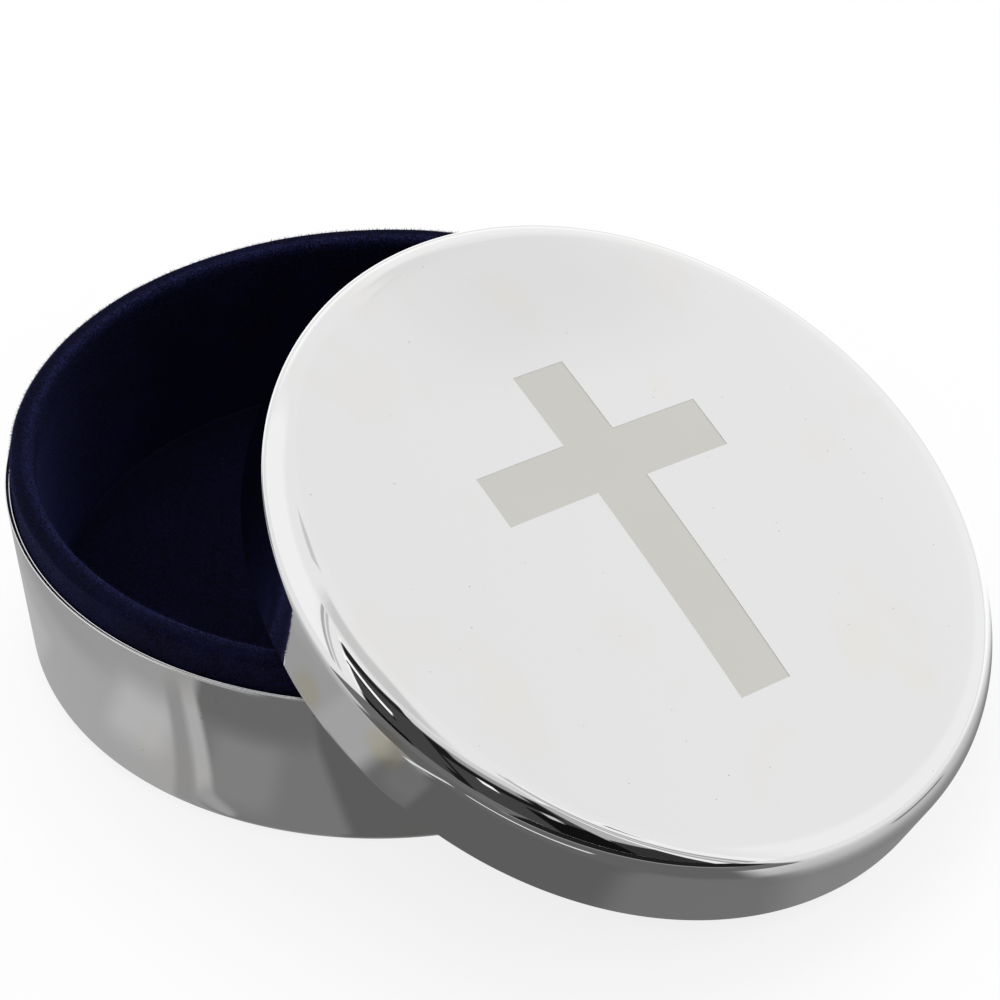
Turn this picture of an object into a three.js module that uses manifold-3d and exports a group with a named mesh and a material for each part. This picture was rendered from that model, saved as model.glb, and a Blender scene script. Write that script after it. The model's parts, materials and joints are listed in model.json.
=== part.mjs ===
// Round keepsake box of plated metal: a velvet-lined base, and a lift-off lid that leans on it.
// Millimetres, +Z up. The origin is the centre of the base's flat underside.
// +X is the way the lid leans: its skirt stands on the surface there and catches the lip, on which its
// lining rests.

import * as THREE from "three";
import { mergeVertices } from "three/addons/utils/BufferGeometryUtils.js";
import Module from "manifold-3d";

// Driving dimensions of both halves
const boxDiameter = 88;
const baseWall = 0.6;
const lidWall = 0.6;
const lidFit = 0.2;

// Driving dimensions of the base
const baseHeight = 22.2;
const baseDraft = 1.4;
const footRadius = 2;
const rimRound = 0.2;

// Driving dimensions of the lining in the base
const lipRise = 3.9;
const lipTuck = 4;
const velvetThickness = 0.6;
const wallCardThickness = 1.2;
const floorBoardThickness = 1.5;
const floorPadThickness = 2;
const floorCrown = 0.6;
const floorEdgeRadius = 1.6;
const liningClearance = 0.2;
const layerGap = 0.15;

// Driving dimensions of the lid and its lining
const skirtHeight = 7.1;
const shoulderRadius = 4.6;
const lidCrown = 1.6;
const lidBoardThickness = 0.4;
const lidVelvetThickness = 0.4;
const lidLiningMargin = 0.5;

// Driving dimensions of the cross engraved on the lid, measured along and across its upright
const crossHeight = 45;
const crossSpan = 32.4;
const uprightWidth = 7.3;
const armWidth = 6.8;
const armDrop = 10.1;
const crossAlong = 1.2;
const crossAside = -1.85;
const crossTurn = THREE.MathUtils.degToRad(-17.5);
const engravingDepth = 0.12;

// Driving dimension of the way the lid leans, and the angles between which its lean is sought
const restClearance = 0.3;
const leastLean = THREE.MathUtils.degToRad(3);
const steepestLean = THREE.MathUtils.degToRad(60);

// How finely round shapes are divided, and places are sought
const turnSteps = 64;
const cornerSteps = 4;
const edgeSteps = 2;
const crownSteps = 3;
const rimSamples = 640;
const halvings = 40;

const quarterTurn = Math.PI / 2;
const halfTurn = Math.PI;

const boxRadius = boxDiameter / 2;

// Helpers

/** Points on an arc, as (radius, height) pairs, from one angle to another. */
function arc(centreRadius, centreHeight, arcRadius, from, to, steps) {
  return Array.from({ length: steps + 1 }, (_, step) => {
    const angle = from + ((to - from) * step) / steps;
    return [centreRadius + arcRadius * Math.cos(angle), centreHeight + arcRadius * Math.sin(angle)];
  });
}

/** Closed body of revolution about +Z; the outline runs anticlockwise in (radius, height). */
function revolve(outline) {
  const points = outline.map(([radius, height]) => new THREE.Vector2(Math.max(radius, 0), height));
  return new THREE.LatheGeometry(points, turnSteps).rotateX(quarterTurn);
}

/** The same outline, closed on itself, for a ring. */
function revolveRing(outline) {
  return revolve([...outline, outline[0]]);
}

function piece(name, geometry, material) {
  const mesh = new THREE.Mesh(geometry, material);
  mesh.name = name;
  return mesh;
}

// Finishes

const platedMetal = new THREE.MeshStandardMaterial({ color: 0xd6d7d9, roughness: 0.06, metalness: 1 });
const navyVelvet = new THREE.MeshStandardMaterial({ color: 0x0b0d2c, roughness: 0.95, metalness: 0 });
const greyCard = new THREE.MeshStandardMaterial({ color: 0x8d8a80, roughness: 0.9, metalness: 0 });
const whiteWadding = new THREE.MeshStandardMaterial({ color: 0xdedad0, roughness: 1, metalness: 0 });

// Base shell: a drawn cup whose wall leans out from a rounded foot to a square-set rim

const footOuterRadius = boxRadius - baseDraft;
const footCentreRadius = footOuterRadius - footRadius;
const footInnerRadius = Math.max(footRadius - baseWall, 0);

/** Outside radius of the base at a height; above the rim it stays as at the rim. */
function baseOuterRadius(height) {
  const climbShare = (height - footRadius) / (baseHeight - footRadius);
  return footOuterRadius + baseDraft * THREE.MathUtils.clamp(climbShare, 0, 1);
}

/** Height of the inside of the base's bottom at a radius, with the rounded corner. */
function insideBottomHeight(radius) {
  const reach = THREE.MathUtils.clamp(radius - footCentreRadius, 0, footInnerRadius);
  return footRadius - Math.sqrt(footInnerRadius ** 2 - reach ** 2);
}

function baseShellGeometry() {
  const edge = Math.min(rimRound, baseWall / 2);
  const innerEdgeRadius = boxRadius - baseWall + edge;
  return revolve([
    [0, 0],
    ...arc(footCentreRadius, footRadius, footRadius, -quarterTurn, 0, cornerSteps),
    ...arc(boxRadius - edge, baseHeight - edge, edge, 0, quarterTurn, edgeSteps),
    ...arc(innerEdgeRadius, baseHeight - edge, edge, quarterTurn, halfTurn, edgeSteps),
    ...arc(footCentreRadius, footRadius, footInnerRadius, 0, -quarterTurn, cornerSteps),
    [0, footRadius - footInnerRadius],
  ]);
}

// Wall lining: a card band with velvet folded over its top, standing proud of the rim as a lip.
// Each face of a layer has its depth inwards from the outside of the base.

const lipOuterDepth = Math.max(lidWall + lidFit, baseWall + liningClearance);
const foldInnerDepth = lipOuterDepth + velvetThickness;
const cardOuterDepth = foldInnerDepth + layerGap;
const cardInnerDepth = cardOuterDepth + wallCardThickness;
const sleeveOuterDepth = cardInnerDepth + layerGap;
const sleeveInnerDepth = sleeveOuterDepth + velvetThickness;

const lipHeight = baseHeight + lipRise;
const lipRound = velvetThickness + layerGap;
const lipCornerHeight = lipHeight - lipRound;
const lipOuterCorner = boxRadius - lipOuterDepth - lipRound;
const lipInnerCorner = boxRadius - sleeveInnerDepth + lipRound;
const wallLiningBottom = insideBottomHeight(footOuterRadius - cardOuterDepth + liningClearance) + layerGap;

/** Points up the face of a layer at some depth, between two heights, bent where the base is bent. */
function climb(depth, low, high) {
  const bends = [footRadius, baseHeight].filter((height) => height > low && height < high);
  return [low, ...bends, high].map((height) => [baseOuterRadius(height) - depth, height]);
}

function wallCardGeometry() {
  const top = lipHeight - velvetThickness - layerGap;
  return revolveRing([
    ...climb(cardOuterDepth, wallLiningBottom, top),
    ...climb(cardInnerDepth, wallLiningBottom, top).reverse(),
  ]);
}

function wallVelvetGeometry() {
  const channelTop = lipHeight - velvetThickness;
  const foldBottom = baseHeight - lipTuck;
  return revolveRing([
    ...climb(sleeveOuterDepth, wallLiningBottom, channelTop),
    ...climb(foldInnerDepth, foldBottom, channelTop).reverse(),
    ...climb(lipOuterDepth, foldBottom, lipCornerHeight),
    ...arc(lipOuterCorner, lipCornerHeight, lipRound, 0, quarterTurn, cornerSteps).slice(1),
    ...arc(lipInnerCorner, lipCornerHeight, lipRound, quarterTurn, halfTurn, cornerSteps).slice(0, -1),
    ...climb(sleeveInnerDepth, wallLiningBottom, lipCornerHeight).reverse(),
  ]);
}

// Floor lining: a card disc, a wadding pad on it, and velvet wrapped over both

const floorRadius = footOuterRadius - sleeveInnerDepth - liningClearance;
const floorBottom = insideBottomHeight(floorRadius) + layerGap;
const floorCoreRadius = floorRadius - velvetThickness - layerGap;
const floorPadBottom = floorBottom + floorBoardThickness + layerGap;
const floorPadTop = floorPadBottom + floorPadThickness;
const floorVelvetInside = floorPadTop + layerGap;
const floorVelvetTop = floorVelvetInside + velvetThickness;

/** A rounded edge and then a low crown up to the axis, starting from the side of a disc. */
function crownedTop(radius, edgeHeight, edgeRadius) {
  const flatRadius = radius - edgeRadius;
  const crown = Array.from({ length: crownSteps }, (_, step) => {
    const share = 1 - (step + 1) / crownSteps;
    return [flatRadius * share, edgeHeight + floorCrown * (1 - share ** 2)];
  });
  return [...arc(flatRadius, edgeHeight - edgeRadius, edgeRadius, 0, quarterTurn, cornerSteps), ...crown];
}

function floorBoardGeometry() {
  const top = floorBottom + floorBoardThickness;
  return revolve([[0, floorBottom], [floorCoreRadius, floorBottom], [floorCoreRadius, top], [0, top]]);
}

function floorPadGeometry() {
  const edgeRadius = Math.min(floorEdgeRadius, floorPadThickness);
  return revolve([
    [0, floorPadBottom],
    [floorCoreRadius, floorPadBottom],
    ...crownedTop(floorCoreRadius, floorPadTop, edgeRadius),
  ]);
}

function floorVelvetGeometry() {
  const edgeRadius = Math.min(floorEdgeRadius, floorPadThickness);
  const inside = crownedTop(floorCoreRadius + layerGap, floorVelvetInside, edgeRadius);
  return revolve([
    ...inside.reverse(),
    [floorCoreRadius + layerGap, floorBottom],
    [floorRadius, floorBottom],
    ...crownedTop(floorRadius, floorVelvetTop, edgeRadius + velvetThickness),
  ]);
}

// Lid shell, in its own frame: the skirt's lower edge lies at height 0, and the crown is on top.
// The crown is a very shallow dome that runs smoothly into the rounded shoulder.

const shoulderCentreRadius = boxRadius - shoulderRadius;
const domeRise = shoulderRadius + lidCrown;
const lidHeight = skirtHeight + domeRise;
const domeRadius =
  (shoulderCentreRadius ** 2 + domeRise ** 2 - shoulderRadius ** 2) / (2 * lidCrown);
const domeCentreHeight = lidHeight - domeRadius;
const domeEdgeAngle = Math.asin(shoulderCentreRadius / (domeRadius - shoulderRadius));

/** Points on the dome, or on a surface some depth under it, from one angle off the axis to another. */
function dome(depth, from, to, steps) {
  return arc(0, domeCentreHeight, domeRadius - depth, quarterTurn - from, quarterTurn - to, steps);
}

/** Angle off the axis at which the underside of the dome reaches a radius. */
function domeAngleAt(radius) {
  return Math.asin(radius / (domeRadius - lidWall));
}

const lidEdgeRound = lidWall / 2;

function lidBlankGeometry() {
  const shoulderEnd = quarterTurn - domeEdgeAngle;
  const innerShoulder = shoulderRadius - lidWall;
  const edgeCentre = boxRadius - lidEdgeRound;
  return revolve([
    ...dome(lidWall, 0, domeEdgeAngle, crownSteps),
    ...arc(shoulderCentreRadius, skirtHeight, innerShoulder, shoulderEnd, 0, cornerSteps).slice(1),
    ...arc(edgeCentre, lidEdgeRound, lidEdgeRound, -halfTurn, 0, 2 * edgeSteps),
    ...arc(shoulderCentreRadius, skirtHeight, shoulderRadius, 0, shoulderEnd, cornerSteps),
    ...dome(0, domeEdgeAngle, 0, crownSteps).slice(1),
  ]);
}

/** Plain Latin cross with its head towards -X, set off the lid's centre as it is engraved. */
function crossShape() {
  const head = crossAlong - crossHeight / 2;
  const foot = crossAlong + crossHeight / 2;
  const armTop = head + armDrop;
  const armFoot = armTop + armWidth;
  const left = crossAside - uprightWidth / 2;
  const right = crossAside + uprightWidth / 2;
  const armLeft = crossAside - crossSpan / 2;
  const armRight = crossAside + crossSpan / 2;
  return new THREE.Shape([
    new THREE.Vector2(head, left),
    new THREE.Vector2(armTop, left),
    new THREE.Vector2(armTop, armLeft),
    new THREE.Vector2(armFoot, armLeft),
    new THREE.Vector2(armFoot, left),
    new THREE.Vector2(foot, left),
    new THREE.Vector2(foot, right),
    new THREE.Vector2(armFoot, right),
    new THREE.Vector2(armFoot, armRight),
    new THREE.Vector2(armTop, armRight),
    new THREE.Vector2(armTop, right),
    new THREE.Vector2(head, right),
  ]);
}

const wasm = await Module();
wasm.setup();

/** Solid for cutting, from a closed geometry with its doubled corners and needle faces removed. */
function solidOf(geometry) {
  const bare = geometry.clone();
  bare.deleteAttribute("normal");
  bare.deleteAttribute("uv");
  const merged = mergeVertices(bare);
  const corners = Array.from(merged.index.array);
  const faces = [];
  for (let first = 0; first < corners.length; first += 3) {
    const [a, b, c] = corners.slice(first, first + 3);
    if (a !== b && b !== c && c !== a) {
      faces.push(a, b, c);
    }
  }
  return new wasm.Manifold(new wasm.Mesh({
    numProp: 3,
    vertProperties: Float32Array.from(merged.attributes.position.array),
    triVerts: Uint32Array.from(faces),
  }));
}

function geometryOf(solid) {
  const mesh = solid.getMesh();
  const geometry = new THREE.BufferGeometry();
  geometry.setAttribute("position", new THREE.BufferAttribute(mesh.vertProperties, 3));
  geometry.setIndex(new THREE.BufferAttribute(mesh.triVerts, 1));
  geometry.computeVertexNormals();
  return geometry;
}

/** The lid with the cross cut into its crown to an even depth. */
function lidShellGeometry() {
  const cutBottom = lidHeight - lidCrown - engravingDepth;
  const cross = new THREE.ExtrudeGeometry(crossShape(), { depth: domeRise, bevelEnabled: false });
  cross.rotateZ(crossTurn);
  cross.translate(0, 0, cutBottom);
  const underDome = revolve([
    [0, skirtHeight],
    [boxRadius, skirtHeight],
    ...dome(engravingDepth, domeEdgeAngle, 0, crownSteps),
  ]);
  const cut = solidOf(cross).subtract(solidOf(underDome));
  return geometryOf(solidOf(lidBlankGeometry()).subtract(cut));
}

// Lid lining: a thin card disc under the dome, and velvet wrapped round it

const lidBoardDepth = lidWall + layerGap;
const lidBoardUnderside = lidBoardDepth + lidBoardThickness;
const lidVelvetInside = lidBoardUnderside + layerGap;
const lidVelvetUnderside = lidVelvetInside + lidVelvetThickness;
const lidLiningRadius = shoulderCentreRadius - lidLiningMargin;
const lidWrapAngle = domeAngleAt(lidLiningRadius - lidVelvetThickness);
const lidBoardAngle = domeAngleAt(lidLiningRadius - lidVelvetThickness - layerGap);

function lidBoardGeometry() {
  return revolve([
    ...dome(lidBoardUnderside, 0, lidBoardAngle, crownSteps),
    ...dome(lidBoardDepth, lidBoardAngle, 0, crownSteps),
  ]);
}

function lidVelvetGeometry() {
  const rimAngle = domeAngleAt(lidLiningRadius);
  return revolve([
    ...dome(lidVelvetUnderside, 0, rimAngle, crownSteps),
    ...dome(lidBoardDepth, rimAngle, lidWrapAngle, 1),
    ...dome(lidVelvetInside, lidWrapAngle, 0, crownSteps),
  ]);
}

// Where the lid leans: it has slid down until its skirt catches the velvet lip, and its lining rests
// on the lip's edge, each with the same small clearance

/** Height of the leaning lid's own origin, with its skirt standing on the surface. */
function seatHeight(lean) {
  return (boxRadius - lidEdgeRound) * Math.sin(lean) + lidEdgeRound - lidEdgeRound * Math.cos(lean);
}

/** Distance outwards from the lip's round-cornered section to a point at a radius and a height. */
function lipDistance(radius, height) {
  const middle = (lipOuterCorner + lipInnerCorner) / 2;
  const aside = Math.abs(radius - middle) - (lipOuterCorner - lipInnerCorner) / 2;
  const above = height - lipCornerHeight;
  const outside = Math.hypot(Math.max(aside, 0), Math.max(above, 0));
  return outside + Math.min(Math.max(aside, above), 0) - lipRound;
}

/** Least gap between the leaning lid's lower edge and the velvet lip, for a lid this far out. */
function skirtGap(lean, distance) {
  const edgeRadius = boxRadius - lidEdgeRound;
  let least = Infinity;
  for (let sample = 0; sample < rimSamples; sample += 1) {
    const turn = (2 * halfTurn * sample) / rimSamples;
    const point = new THREE.Vector3(edgeRadius * Math.cos(turn), edgeRadius * Math.sin(turn), lidEdgeRound);
    point.applyAxisAngle(new THREE.Vector3(0, 1, 0), lean);
    const radius = Math.hypot(point.x + distance, point.y);
    least = Math.min(least, lipDistance(radius, point.z + seatHeight(lean)));
  }
  return least - lidEdgeRound;
}

/** Gap between the velvet lip's nearest point and the lid's domed lining, for a lid this far out. */
function liningGap(lean, distance) {
  const domeX = distance + domeCentreHeight * Math.sin(lean);
  const domeZ = seatHeight(lean) + domeCentreHeight * Math.cos(lean);
  const reach = Math.hypot(lipOuterCorner - domeX, lipCornerHeight - domeZ) + lipRound;
  return domeRadius - lidVelvetUnderside - reach;
}

/** Halves the span between two values until the place where a rising function passes zero is settled. */
function crossing(low, high, rising) {
  let under = low;
  let over = high;
  for (let halving = 0; halving < halvings; halving += 1) {
    const middle = (under + over) / 2;
    if (rising(middle) < 0) {
      under = middle;
    } else {
      over = middle;
    }
  }
  return over;
}

/** How far out the lid stands when its skirt is just clear of the lip. */
function skirtReach(lean) {
  return crossing(0, boxDiameter, (distance) => skirtGap(lean, distance) - restClearance);
}

/** How far out the lid stands when its lining is just clear of the lip. */
function liningReach(lean) {
  return crossing(0, boxDiameter, (distance) => liningGap(lean, distance) - restClearance);
}

const leanAngle = crossing(leastLean, steepestLean, (lean) => liningReach(lean) - skirtReach(lean));
const leanDistance = Math.max(skirtReach(leanAngle), liningReach(leanAngle));

// Assembly

const base = new THREE.Group();
base.name = "base";
base.add(
  piece("base_shell", baseShellGeometry(), platedMetal),
  piece("wall_card_band", wallCardGeometry(), greyCard),
  piece("wall_velvet", wallVelvetGeometry(), navyVelvet),
  piece("floor_board", floorBoardGeometry(), greyCard),
  piece("floor_pad", floorPadGeometry(), whiteWadding),
  piece("floor_velvet", floorVelvetGeometry(), navyVelvet),
);

const lid = new THREE.Group();
lid.name = "lid";
lid.add(
  piece("lid_shell", lidShellGeometry(), platedMetal),
  piece("lid_board", lidBoardGeometry(), greyCard),
  piece("lid_velvet", lidVelvetGeometry(), navyVelvet),
);
lid.rotation.y = leanAngle;
lid.position.set(leanDistance, 0, seatHeight(leanAngle));

const box = new THREE.Group();
box.name = "rosary_box";
box.add(base, lid);

export default box;
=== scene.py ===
"""Looks of a round keepsake box: plated metal halves, navy velvet linings and the lid leaning on the base.

Sizes in the classes are in millimetres. Finished meshes are in metres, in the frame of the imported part.
"""

import json
import logging
import math
from dataclasses import dataclass, field
from enum import Enum
from typing import Any, Iterable, Sequence

import bmesh
import bpy
from mathutils import Matrix, Vector
from mathutils.geometry import delaunay_2d_cdt


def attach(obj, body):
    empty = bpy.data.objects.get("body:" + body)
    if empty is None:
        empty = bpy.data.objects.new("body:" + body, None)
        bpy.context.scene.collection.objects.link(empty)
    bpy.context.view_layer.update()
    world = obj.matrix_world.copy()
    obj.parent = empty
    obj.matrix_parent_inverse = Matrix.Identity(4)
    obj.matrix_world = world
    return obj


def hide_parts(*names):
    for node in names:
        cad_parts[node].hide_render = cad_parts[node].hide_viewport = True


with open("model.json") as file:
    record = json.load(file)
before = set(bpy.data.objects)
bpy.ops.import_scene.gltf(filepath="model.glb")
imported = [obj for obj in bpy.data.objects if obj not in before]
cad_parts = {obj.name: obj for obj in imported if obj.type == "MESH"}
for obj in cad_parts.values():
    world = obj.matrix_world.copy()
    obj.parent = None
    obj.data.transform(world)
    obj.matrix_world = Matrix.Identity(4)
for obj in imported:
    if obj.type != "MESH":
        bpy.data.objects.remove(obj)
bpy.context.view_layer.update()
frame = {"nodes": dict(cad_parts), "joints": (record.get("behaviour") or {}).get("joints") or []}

Range = tuple[float, float]
Point = tuple[float, float, float]
Outline = list[tuple[float, float]]
Colour = tuple[int, int, int]
Inputs = dict[Any, Any]
Socket = bpy.types.NodeSocket
Material = bpy.types.Material
Mesh = bpy.types.Mesh
Piece = bpy.types.Object

MM = 0.001
WELD = 1e-6
QUARTER = math.pi / 2
HALF_TURN = 180.0
DEGREES = HALF_TURN / math.pi
END_SHARES = (0.01, 0.04)
MIDDLE_SPANS = 6
UNTURNED = (0.0, 0.0, 0.0)
WHITE = (1.0, 1.0, 1.0, 1.0)
FINE_GRAIN = {"detail": 3.0, "roughness": 0.7}

log = logging.getLogger("rosary_box")


class Slot(Enum):
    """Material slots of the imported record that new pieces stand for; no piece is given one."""

    METAL = "plated_metal"
    VELVET = "navy_velvet"
    WADDING = "white_wadding"


class Body(Enum):
    """Bodies that the pieces ride on."""

    BASE = "base"
    LID = "lid"


class Held(Enum):
    """How a sheet of cloth is held."""

    STRETCHED = "stretched"


# Outlines


def arc(centre: Range, radius: float, start: float, end: float, steps: int) -> Outline:
    """Points on an arc in (radius, height), between two angles in radians."""
    angles = [start + (end - start) * step / steps for step in range(steps + 1)]
    return [(centre[0] + radius * math.cos(a), centre[1] + radius * math.sin(a)) for a in angles]


def straight(start: Range, end: Range) -> Outline:
    """Points between two ends, closer together near both, so that smooth shading keeps the run flat.

    Args:
        start: First end, left out of the result.
        end: Second end, left out of the result.

    Returns:
        The points between the ends.
    """
    near, inner = END_SHARES
    middle = [step / MIDDLE_SPANS for step in range(1, MIDDLE_SPANS)]
    shares = [near, inner, *middle, 1 - inner, 1 - near]
    return [(start[0] + (end[0] - start[0]) * s, start[1] + (end[1] - start[1]) * s) for s in shares]


def joined(*runs: Outline) -> Outline:
    """One outline out of several runs.

    Args:
        runs: The runs in order.

    Returns:
        All their points, with straight runs between them.
    """
    points: Outline = []
    for run in runs:
        if points:
            points += straight(points[-1], run[0])
        points += run
    return points


# Nodes


@dataclass
class Bench:
    """Adds nodes to one tree and links them."""

    tree: bpy.types.NodeTree

    def add(self, kind: str, inputs: Inputs | None = None, **settings: Any) -> bpy.types.Node:
        """Adds a node.

        Args:
            kind: Blender's name of the node type.
            inputs: Values or sockets by input name or number.
            settings: Attributes of the node itself.

        Returns:
            The new node.
        """
        node = self.tree.nodes.new(kind)
        for name, value in settings.items():
            setattr(node, name, value)
        self.fill(node, inputs or {})
        return node

    def fill(self, node: bpy.types.Node, inputs: Inputs) -> None:
        """Links sockets to a node's inputs, or writes plain values there.

        Args:
            node: The node.
            inputs: Values or sockets by input name or number.
        """
        for key, value in inputs.items():
            if isinstance(value, Socket):
                self.tree.links.new(value, node.inputs[key])
            else:
                node.inputs[key].default_value = value

    def out(self, kind: str, inputs: Inputs | None = None, **settings: Any) -> Socket:
        """First output of a new node."""
        return self.add(kind, inputs, **settings).outputs[0]

    def math(self, operation: str, *values: Any, clamp: bool = False) -> Socket:
        """Result of one math node."""
        return self.out("ShaderNodeMath", dict(enumerate(values)), operation=operation, use_clamp=clamp)

    def vector(self, operation: str, *values: Any) -> Socket:
        """Vector result of one vector math node."""
        return self.out("ShaderNodeVectorMath", dict(enumerate(values)), operation=operation)

    def length(self, vector: Any) -> Socket:
        """Length of a vector."""
        return self.add("ShaderNodeVectorMath", {0: vector}, operation="LENGTH").outputs["Value"]

    def scaled(self, vector: Any, scale: Any) -> Socket:
        """Vector times a number."""
        return self.out("ShaderNodeVectorMath", {0: vector, "Scale": scale}, operation="SCALE")

    def split(self, vector: Any) -> list[Socket]:
        """The three parts of a vector."""
        return list(self.add("ShaderNodeSeparateXYZ", {0: vector}).outputs)

    def gathered(self, *parts: Any) -> Socket:
        """Vector out of up to three parts."""
        return self.out("ShaderNodeCombineXYZ", dict(enumerate(parts)))

    def rise(self, value: Any, low: Any, high: Any) -> Socket:
        """Smooth rise from 0 at low to 1 at high, which also falls where low is above high."""
        inputs = {"Value": value, "From Min": low, "From Max": high}
        return self.out("ShaderNodeMapRange", inputs, interpolation_type="SMOOTHSTEP")

    def noise(self, where: Any, scale: Any, detail: float = 2.0, roughness: float = 0.5) -> Socket:
        """Grey noise at a place."""
        inputs = {"Vector": where, "Scale": scale, "Detail": detail, "Roughness": roughness}
        return self.out("ShaderNodeTexNoise", inputs)

    def mapped(self, where: Any, scale: Sequence[float], turn: Point = UNTURNED, **settings: Any) -> Socket:
        """Coordinates stretched and turned by one mapping node."""
        inputs = {"Vector": where, "Scale": scale, "Rotation": turn}
        return self.out("ShaderNodeMapping", inputs, **settings)

    def bump(self, height: Socket, depth: float, strength: float = 1.0) -> Socket:
        """Normal over a relief whose depth is in millimetres."""
        inputs = {"Strength": strength, "Distance": depth * MM, "Height": height}
        return self.out("ShaderNodeBump", inputs)

    def blend(self, share: Any, first: Any, second: Any) -> Socket:
        """Mix of two colours."""
        return self.add("ShaderNodeMix", {0: share, 6: first, 7: second}, data_type="RGBA").outputs[2]


def linear(value: float) -> float:
    """Light of one channel that a screen shows as 0 to 255."""
    share = value / 255
    return share / 12.92 if share <= 0.04045 else ((share + 0.055) / 1.055) ** 2.4


def rgba(colour: Sequence[float]) -> tuple[float, ...]:
    """A colour with full alpha, from 0 to 255 as a screen shows it."""
    return (*(linear(value) for value in colour), 1.0)


def per(size: float) -> float:
    """Scale at which a pattern repeats over a size in millimetres."""
    return 1 / (size * MM)


# Finishes


def fresh(name: str) -> tuple[Material, Bench, bpy.types.Node]:
    """A new node material.

    Args:
        name: Name of the material.

    Returns:
        The material, a bench for its tree, and its main shader.
    """
    material = bpy.data.materials.new(name)
    material.use_nodes = True
    return material, Bench(material.node_tree), material.node_tree.nodes["Principled BSDF"]


@dataclass(frozen=True)
class Finish:
    """A finish of the box, as a node material on Object coordinates."""

    name: str

    def material(self) -> Material:
        """Builds the node material.

        Returns:
            The material.
        """
        material, bench, shader = fresh(self.name)
        where = bench.add("ShaderNodeTexCoord").outputs["Object"]
        bench.fill(shader, self.coat(bench, where))
        return material

    def coat(self, bench: Bench, where: Socket) -> Inputs:
        """Inputs of the main shader, from the material's bench and Object coordinates."""
        raise NotImplementedError


@dataclass(frozen=True)
class PolishedPlate(Finish):
    """Mirror-polished plating with the slight swell of drawn sheet, faint warm tarnish and hairlines."""

    name: str = "polished_plate"
    colour: Colour = (236, 236, 237)
    warm: Colour = (234, 229, 214)
    mark: Colour = (120, 120, 122)
    roughness: float = 0.03
    swell_size: float = 11.0
    swell_depth: float = 0.012
    hairline_spread: Point = (1.0, 0.06, 0.3)
    hairline_turn: Point = (0.3, 0.2, 0.7)
    hairline_density: float = 2.4
    hairline_range: Range = (0.66, 0.78)
    hairline_share: float = 0.05
    nick_spread: Point = (6.5, 1.7, 1.7)
    nick_turn: Point = (0.5, 0.9, 0.4)
    nick_share: float = 0.035
    tarnish_size: float = 13.0
    tarnish_range: Range = (0.54, 0.7)
    tarnish_share: float = 0.22
    stain_core: float = 0.35
    stains: tuple[tuple[float, ...], ...] = ((20.4, -41.8, 26.2, 3.2), (32.0, -43.9, 25.2, 3.6))

    def coat(self, bench: Bench, where: Socket) -> Inputs:
        """Polish with hairlines, nicks and tarnish.

        Args:
            bench: Bench of the material.
            where: Object coordinates.

        Returns:
            Inputs of the main shader.
        """
        stretched = bench.mapped(where, [share / MM for share in self.hairline_spread], self.hairline_turn)
        hair = bench.noise(stretched, self.hairline_density, detail=4.0, roughness=0.7)
        hair = bench.rise(hair, *self.hairline_range)
        spread = [size * MM for size in self.nick_spread]
        dashes = bench.mapped(where, spread, self.nick_turn, vector_type="TEXTURE")
        cell = bench.add("ShaderNodeTexVoronoi", {"Vector": dashes, "Scale": 1.0})
        nick = bench.rise(cell.outputs["Distance"], self.nick_share, self.nick_share / 2)
        tinted = bench.blend(self.warmth(bench, where), rgba(self.colour), rgba(self.warm))
        return {
            "Base Color": bench.blend(nick, tinted, rgba(self.mark)),
            "Roughness": bench.math("MULTIPLY_ADD", hair, self.hairline_share, self.roughness),
            "Normal": bench.bump(bench.noise(where, per(self.swell_size), detail=1.0), self.swell_depth),
            "Metallic": 1.0,
        }

    def warmth(self, bench: Bench, where: Socket) -> Socket:
        """Share of warm tarnish: faint in patches all over, and full in a few handled places.

        Args:
            bench: Bench of the material.
            where: Object coordinates.

        Returns:
            The share, from 0 to 1.
        """
        tarnish = bench.rise(bench.noise(where, per(self.tarnish_size)), *self.tarnish_range)
        share = bench.math("MULTIPLY", tarnish, self.tarnish_share)
        for east, north, up, reach in self.stains:
            away = bench.vector("SUBTRACT", where, (east * MM, north * MM, up * MM))
            near = bench.rise(bench.length(away), reach * MM, self.stain_core * reach * MM)
            share = bench.math("MAXIMUM", share, near)
        return share


@dataclass(frozen=True)
class FrostedEngraving(Finish):
    """Fine, even frosting that a laser leaves in plating."""

    name: str = "frosted_engraving"
    light: Colour = (219, 218, 213)
    dark: Colour = (211, 210, 204)
    roughness: float = 0.42
    roughness_swing: float = 0.1
    grain_size: float = 0.12
    grain_depth: float = 0.01
    patch_size: float = 9.0
    patch_share: float = 0.5

    def coat(self, bench: Bench, where: Socket) -> Inputs:
        """Frosting with fine grain and faint patches.

        Args:
            bench: Bench of the material.
            where: Object coordinates.

        Returns:
            Inputs of the main shader.
        """
        grain = bench.noise(where, per(self.grain_size), **FINE_GRAIN)
        patch = bench.math("MULTIPLY", bench.noise(where, per(self.patch_size)), self.patch_share)
        share = bench.math("MULTIPLY_ADD", grain, 1 - self.patch_share, patch)
        return {
            "Base Color": bench.blend(share, rgba(self.dark), rgba(self.light)),
            "Roughness": bench.math("MULTIPLY_ADD", grain, self.roughness_swing, self.roughness),
            "Normal": bench.bump(grain, self.grain_depth, strength=0.25),
            "Metallic": 1.0,
        }


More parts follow.
